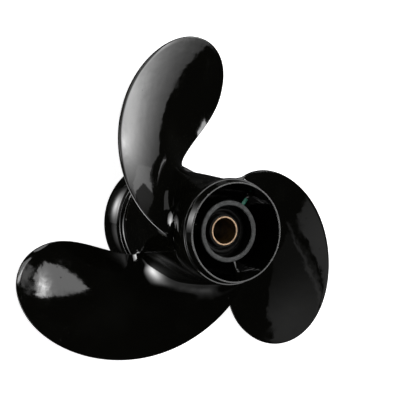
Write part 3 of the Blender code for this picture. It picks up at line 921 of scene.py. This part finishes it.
brass, tree, shader, place = started("brass")
spot = fed(tree, "ShaderNodeSeparateXYZ", place).outputs
radius = math_node(tree, "SQRT", math_node(
    tree, "MULTIPLY_ADD", spot["X"], spot["X"], math_node(tree, "MULTIPLY", spot["Y"], spot["Y"])))
marks = fed(tree, "ShaderNodeTexNoise", settings={"noise_dimensions": "2D"}, Detail=1.0, Scale=1.0,
            Vector=fed(tree, "ShaderNodeCombineXYZ",
                       math_node(tree, "DIVIDE", radius, TURNED_PITCH),
                       math_node(tree, "DIVIDE", spot["Z"], TURNED_PITCH)).outputs[0]).outputs[0]
# Mask of the bore's wall from just below the aft rim inward, where the colour turns dark brown.
deep_in_bore = math_node(tree, "MULTIPLY",
                    ramped(tree, spot["Z"], SLEEVE_AFT - DEEP_BORE_FROM, SLEEVE_AFT - DEEP_BORE_FULL),
                    ramped(tree, radius, SLEEVE_BORE_RADIUS + DEEP_BORE_REACH,
                           SLEEVE_BORE_RADIUS + DEEP_BORE_EDGE))
deep_bore_colour = mixed(tree, patched(tree, place, DEEP_BORE_PATCH_SIZE, 0.4, 0.6), DEEP_BORE_DARK, DEEP_BORE_LIGHTER)
bright = mixed(tree, patched(tree, place, TARNISH_SIZE, 0.4, 0.65), BRASS_LIGHT, BRASS_DULL)
joined(tree, shader, mixed(tree, deep_in_bore, bright, deep_bore_colour),
       math_node(tree, "MULTIPLY_ADD", deep_in_bore, DEEP_BORE_ROUGHNESS, BRASS_ROUGHNESS),
       math_node(tree, "MULTIPLY", marks, TURNED_DEPTH),
       math_node(tree, "MULTIPLY_ADD", deep_in_bore, DEEP_BORE_METAL - 1.0, 1.0))

sleeve_line = [(SLEEVE_RADIUS, SLEEVE_AFT), (SLEEVE_RADIUS, SLEEVE_FRONT),
               (SLEEVE_BORE_RADIUS, SLEEVE_FRONT), (SLEEVE_BORE_RADIUS, SLEEVE_AFT)]
sleeve_line = softened(sleeve_line, {i: SLEEVE_CHAMFER for i in range(4)})
sleeve_mesh = turned_mesh("brass_sleeve_turned", sleeve_line, SLEEVE_STEPS)
finished("brass_sleeve_turned", sleeve_mesh, brass, "brass", "brass_sleeve")


# Studio: a pale floor that glows a little, which the propeller stands on, and the camera where
# the photographer stood, on the propeller's aft side.
FLOOR_SIZE = 6.0
FLOOR_COLOUR = (0.9, 0.9, 0.9, 1.0)
FLOOR_GLOW = 0.85
WHITE = (1.0, 1.0, 1.0, 1.0)
AIM_HEIGHT = 51.3 * MM
CAMERA_DISTANCE = 1.4517
CAMERA_SIDE = math.radians(-28.1301)
CAMERA_RISE = math.radians(3.1645)
CAMERA_ROLL = math.radians(2.3345)
CAMERA_TURN = math.radians(2.69)
AIM_RIGHT = 4.8 * MM
AIM_UP = 14.0 * MM
LENS = 207.9
NEAREST_SEEN = 0.05

floor_mesh = bpy.data.meshes.new("floor")
reach = 0.5 * FLOOR_SIZE
floor_mesh.from_pydata([(-reach, -reach, 0.0), (reach, -reach, 0.0),
                        (reach, reach, 0.0), (-reach, reach, 0.0)], [], [(0, 1, 2, 3)])
floor = bpy.data.objects.new("floor", floor_mesh)
bpy.context.scene.collection.objects.link(floor)
pale = bpy.data.materials.new("pale_floor")
pale.use_nodes = True
shader = pale.node_tree.nodes["Principled BSDF"]
shader.inputs["Base Color"].default_value = FLOOR_COLOUR
shader.inputs["Emission Color"].default_value = WHITE
shader.inputs["Emission Strength"].default_value = FLOOR_GLOW
floor.visible_glossy = False
floor_mesh.materials.append(pale)

turned_back = Matrix.Rotation(CAMERA_TURN, 3, "Z")
towards = turned_back @ Vector((math.sin(CAMERA_SIDE) * math.cos(CAMERA_RISE),
                                math.sin(CAMERA_RISE),
                                math.cos(CAMERA_SIDE) * math.cos(CAMERA_RISE)))
level_right = (turned_back @ Vector((0.0, 1.0, 0.0))).cross(towards).normalized()
level_up = towards.cross(level_right)
image_right = math.cos(CAMERA_ROLL) * level_right + math.sin(CAMERA_ROLL) * level_up
image_up = math.cos(CAMERA_ROLL) * level_up - math.sin(CAMERA_ROLL) * level_right
middle = Vector((0.0, 0.0, AIM_HEIGHT))
stand = middle + towards * CAMERA_DISTANCE
aim = middle + image_right * AIM_RIGHT + image_up * AIM_UP
back = (stand - aim).normalized()
right = image_up.cross(back).normalized()
up = back.cross(right)
camera_data = bpy.data.cameras.new("camera")
camera_data.lens = LENS
camera_data.clip_start = NEAREST_SEEN
camera = bpy.data.objects.new("camera", camera_data)
camera.matrix_world = Matrix.Translation(stand) @ Matrix((right, up, back)).transposed().to_4x4()
bpy.context.scene.collection.objects.link(camera)
bpy.context.scene.camera = camera


# Lights: soft boxes and lamps round the propeller that its black paint mirrors, painted on
# the world in flat pieces with up to six corners. Corners and hot spots are in degrees to
# the right of the camera and above it, as seen from the propeller.
EDGE_BLUR = 0.006
CORNERS = 6
LOWEST_AHEAD = 0.1
BANK = [(111.9, 31.6), (93, 57.5), (80, 69), (58, 64), (60, 40), (84, -11)]
TUBE_OUTER = [(41.1, -32), (43.1, -42.8), (46.9, -51.7), (54, -59)]
TUBE_INNER = [(41.9, -32), (43.9, -42.5), (47.6, -51.2), (54.5, -58.4)]
TUBE_LIGHTS = [0.3, 0.3, 0.25]
ROOM_GLOW = 0.012
ROOM_FILL = 0.35
FLAG_SHADE = 0.85
DEEPER_SHADE = 0.85
ONE_REFLECTION = 1.5
TOP_LIGHT_AT = (40, 20)
TOP_LIGHT_DISTANCE = 2.0
TOP_LIGHT_SIZE = 1.6
TOP_LIGHT_POWER = 30.0


def seen_at(to_right, above):
    """Direction that many degrees to the right of the camera and above it."""
    angle = math.radians(math.hypot(to_right, above))
    around = math.atan2(above, to_right)
    level = right * math.cos(around) + up * math.sin(around)
    return (level * math.sin(angle) + back * math.cos(angle)).normalized()


def soft_box_group():
    """Light and mask of a flat soft box with a hot spot, in the direction that is looked in."""
    edges = [f"Edge {i + 1}" for i in range(CORNERS)]
    ways = dict.fromkeys(["Direction", "Hot Spot", "Across", "Up"] + edges, "Vector")
    amounts = dict.fromkeys(["Blur", "Fall", "Glow", "Even"], "Float")
    group, given, made = node_group("soft_box", "ShaderNodeTree", ways | amounts,
                                    {"Light": "Float", "Mask": "Float"})

    def along(name):
        return along_way(group, given["Direction"], given[name])

    nearest = along(edges[0])
    for name in edges[1:]:
        nearest = math_node(group, "MINIMUM", nearest, along(name))
    mask = ramped(group, nearest, math_node(group, "MULTIPLY", given["Blur"], -1.0), given["Blur"])
    ahead = math_node(group, "MAXIMUM", along("Hot Spot"), LOWEST_AHEAD)
    squares = 0.0
    for name in ("Across", "Up"):
        share = math_node(group, "DIVIDE", along(name), ahead)
        squares = math_node(group, "MULTIPLY_ADD", share, share, squares)
    fall = math_node(group, "POWER", squares, math_node(group, "MULTIPLY", given["Fall"], 0.5))
    shine = math_node(group, "POWER", math.e, math_node(group, "MULTIPLY", fall, -1.0))
    light = math_node(group, "MULTIPLY_ADD", shine, given["Glow"], given["Even"])
    group.links.new(math_node(group, "MULTIPLY", light, mask), made["Light"])
    group.links.new(mask, made["Mask"])
    return group


world = bpy.data.worlds.new("studio")
world.use_nodes = True
room = world.node_tree
direction = room.nodes.new("ShaderNodeTexCoord").outputs["Generated"]
soft_box = soft_box_group()


def box_node(name, corners, hot=None, spread=(20, 20), tilt=0, fall=2.0, glow=0.0, even=0.0,
             blur=EDGE_BLUR):
    """Hang a soft box in the room; its hot spot spreads this many degrees across and up."""
    ways = [seen_at(*corner) for corner in corners]
    centre = sum(ways, Vector())
    spot = seen_at(*hot) if hot else centre.normalized()
    level = up.cross(spot).normalized()
    level.rotate(Matrix.Rotation(math.radians(tilt), 3, spot))
    wide, tall = (math.tan(math.radians(degrees)) for degrees in spread)
    node = fed(room, "ShaderNodeGroup", settings={"node_tree": soft_box, "label": name},
               Direction=direction, Hot_Spot=spot, Across=level / wide, Up=spot.cross(level) / tall,
               Blur=blur, Fall=fall, Glow=glow, Even=even)
    for i in range(CORNERS):
        edge = ways[i % len(ways)].cross(ways[(i + 1) % len(ways)]).normalized()
        node.inputs[f"Edge {i + 1}"].default_value = edge if edge.dot(centre) > 0.0 else -edge
    return node


def lit(total, boxes):
    """This light with the light of these boxes added."""
    for box in boxes:
        total = math_node(room, "ADD", box.outputs["Light"], total)
    return total


flagged_boxes = [
    box_node("right_bank", BANK, hot=(85.6, 12.8), spread=(5.1, 9.8), tilt=-40, fall=1.5,
             glow=7.9, even=0.05),
    box_node("right_core", BANK, hot=(84.8, 30.4), spread=(5.0, 4.8), fall=0.75, glow=15.0),
    box_node("bank_top", [(103, 44), (93, 57.5), (80, 69), (58, 64), (76, 50), (90, 42)],
             hot=(70, 56), spread=(25, 9), fall=1.5, glow=1.1, even=0.4),
    box_node("left_low", [(-19, -6), (-46, 5), (-72, 17), (-99, -5), (-60, -88), (-15, -90)],
             hot=(-57.4, -26.6), spread=(16.3, 17.3), tilt=56, fall=1.44, glow=22.0, even=0.4,
             blur=0.1),
]
open_boxes = [
    box_node("high_window", [(-5, 83), (-4, 92), (-28, 95), (-60, 89), (-80, 76), (-44, 79)],
             even=0.58),
    box_node("back_low", [(-124, -70), (-124, -25), (-138, -25), (-138, -70)], even=0.2),
    box_node("front_box", [(50, 12), (80, 12), (84, -11), (63, -23.5), (47, -30), (46.5, 0)],
             even=3.2),
    box_node("front_high", [(52, 45), (76, 45), (80, 12), (50, 12)], even=1.2),
    box_node("tip_box", [(30.5, 31.8), (37, 33.8), (43, 33), (46, 29.5), (45.2, 25.2), (41.5, 22)],
             hot=(42.1, 24.6), spread=(0.7, 1.7), tilt=-47, fall=1.36, glow=19.0, even=3.2),
    box_node("tip_patch", [(47.6, 25.2), (46.2, 25.6), (45.4, 23.6), (44.8, 21.8), (46, 20.5),
                           (47.4, 22.5)], even=1.6),
    box_node("tip_arc", [(40, 41.5), (43, 39.5), (45.2, 43), (47, 50), (38, 55), (33, 50)],
             even=3.0),
    box_node("low_panel", [(43, -33), (47.6, -44.7), (53.3, -52.5), (58, -54), (72, -44), (80, -18)],
             hot=(52, -39), spread=(12, 12), glow=0.26, even=0.25),
    box_node("low_sheet", [(33, -26), (28.6, -35), (29.5, -43), (35, -54), (50, -57), (41, -31)],
             hot=(35, -31), spread=(12, 9), glow=0.36, even=0.06),
    box_node("far_strip", [(101, -23.8), (105, -23.6), (108.5, -23.2), (115, -34), (108, -34),
                           (101, -27)], even=5.5),
    box_node("far_box", [(135, -15), (135, -42), (146, -42), (146, -13)], even=4.5),
    box_node("left_high", [(-30, 50), (-36, 72), (-57, 74), (-80, 60), (-78, 46), (-52, 44.5)],
             hot=(-53.6, 48.6), spread=(14.7, 11.1), tilt=15, fall=1.5, glow=17.6),
    box_node("left_far", [(-72, 75), (-100, 68), (-112, 10), (-106, -2), (-90, -6), (-82, 40)],
             hot=(-93, 34), spread=(4.2, 11.5), tilt=10, fall=1.5, glow=12.5, even=0.05),
    box_node("left_back", [(-138, 8), (-138, 34), (-123, 38), (-124, 8)],
             hot=(-129, 15), spread=(14, 12), glow=1.3, even=0.2),
]
for i, light in enumerate(TUBE_LIGHTS):
    open_boxes.append(box_node("low_tube", TUBE_OUTER[i:i + 2] + TUBE_INNER[i:i + 2][::-1],
                               even=light))
flags = [box_node("flag", [(72, 53), (85.8, 53.5), (86, 70), (70, 80), (52, 70), (56, 56)]),
         box_node("edge_flag", [(112, 30.5), (106, 37.5), (100, 45.5), (93, 55), (98, 62),
                                (116, 45)])]
rays = room.nodes.new("ShaderNodeLightPath").outputs
deeper = math_node(room, "GREATER_THAN", rays["Glossy Depth"], ONE_REFLECTION)
shades = [(flag.outputs["Mask"], FLAG_SHADE) for flag in flags] + [(deeper, DEEPER_SHADE)]
total = lit(0.0, flagged_boxes)
for mask, shade in shades:
    total = math_node(room, "MULTIPLY", total, math_node(room, "MULTIPLY_ADD", mask, -shade, 1.0))
total = lit(math_node(room, "ADD", total, ROOM_GLOW), open_boxes)


def chosen(ray, yes, no):
    """One value for rays of this kind and another for the rest."""
    return fed(room, "ShaderNodeMix", rays[ray], A=no, B=yes).outputs["Result"]


strength = chosen("Is Camera Ray", 1.0, chosen("Is Glossy Ray", total, ROOM_FILL))
background = room.nodes["Background"]
background.inputs["Color"].default_value = WHITE
room.links.new(strength, background.inputs["Strength"])
bpy.context.scene.world = world
bpy.context.scene.view_settings.view_transform = "Standard"

lamp_data = bpy.data.lights.new("top_light", "AREA")
lamp_data.energy = TOP_LIGHT_POWER
lamp_data.size = TOP_LIGHT_SIZE
lamp = bpy.data.objects.new("top_light", lamp_data)
lamp_from = seen_at(*TOP_LIGHT_AT)
lamp.matrix_world = Matrix.Translation(middle + lamp_from * TOP_LIGHT_DISTANCE) @ (
    lamp_from.to_track_quat("Z", "Y").to_matrix().to_4x4())
lamp.visible_glossy = False
lamp.visible_camera = False
bpy.context.scene.collection.objects.link(lamp)
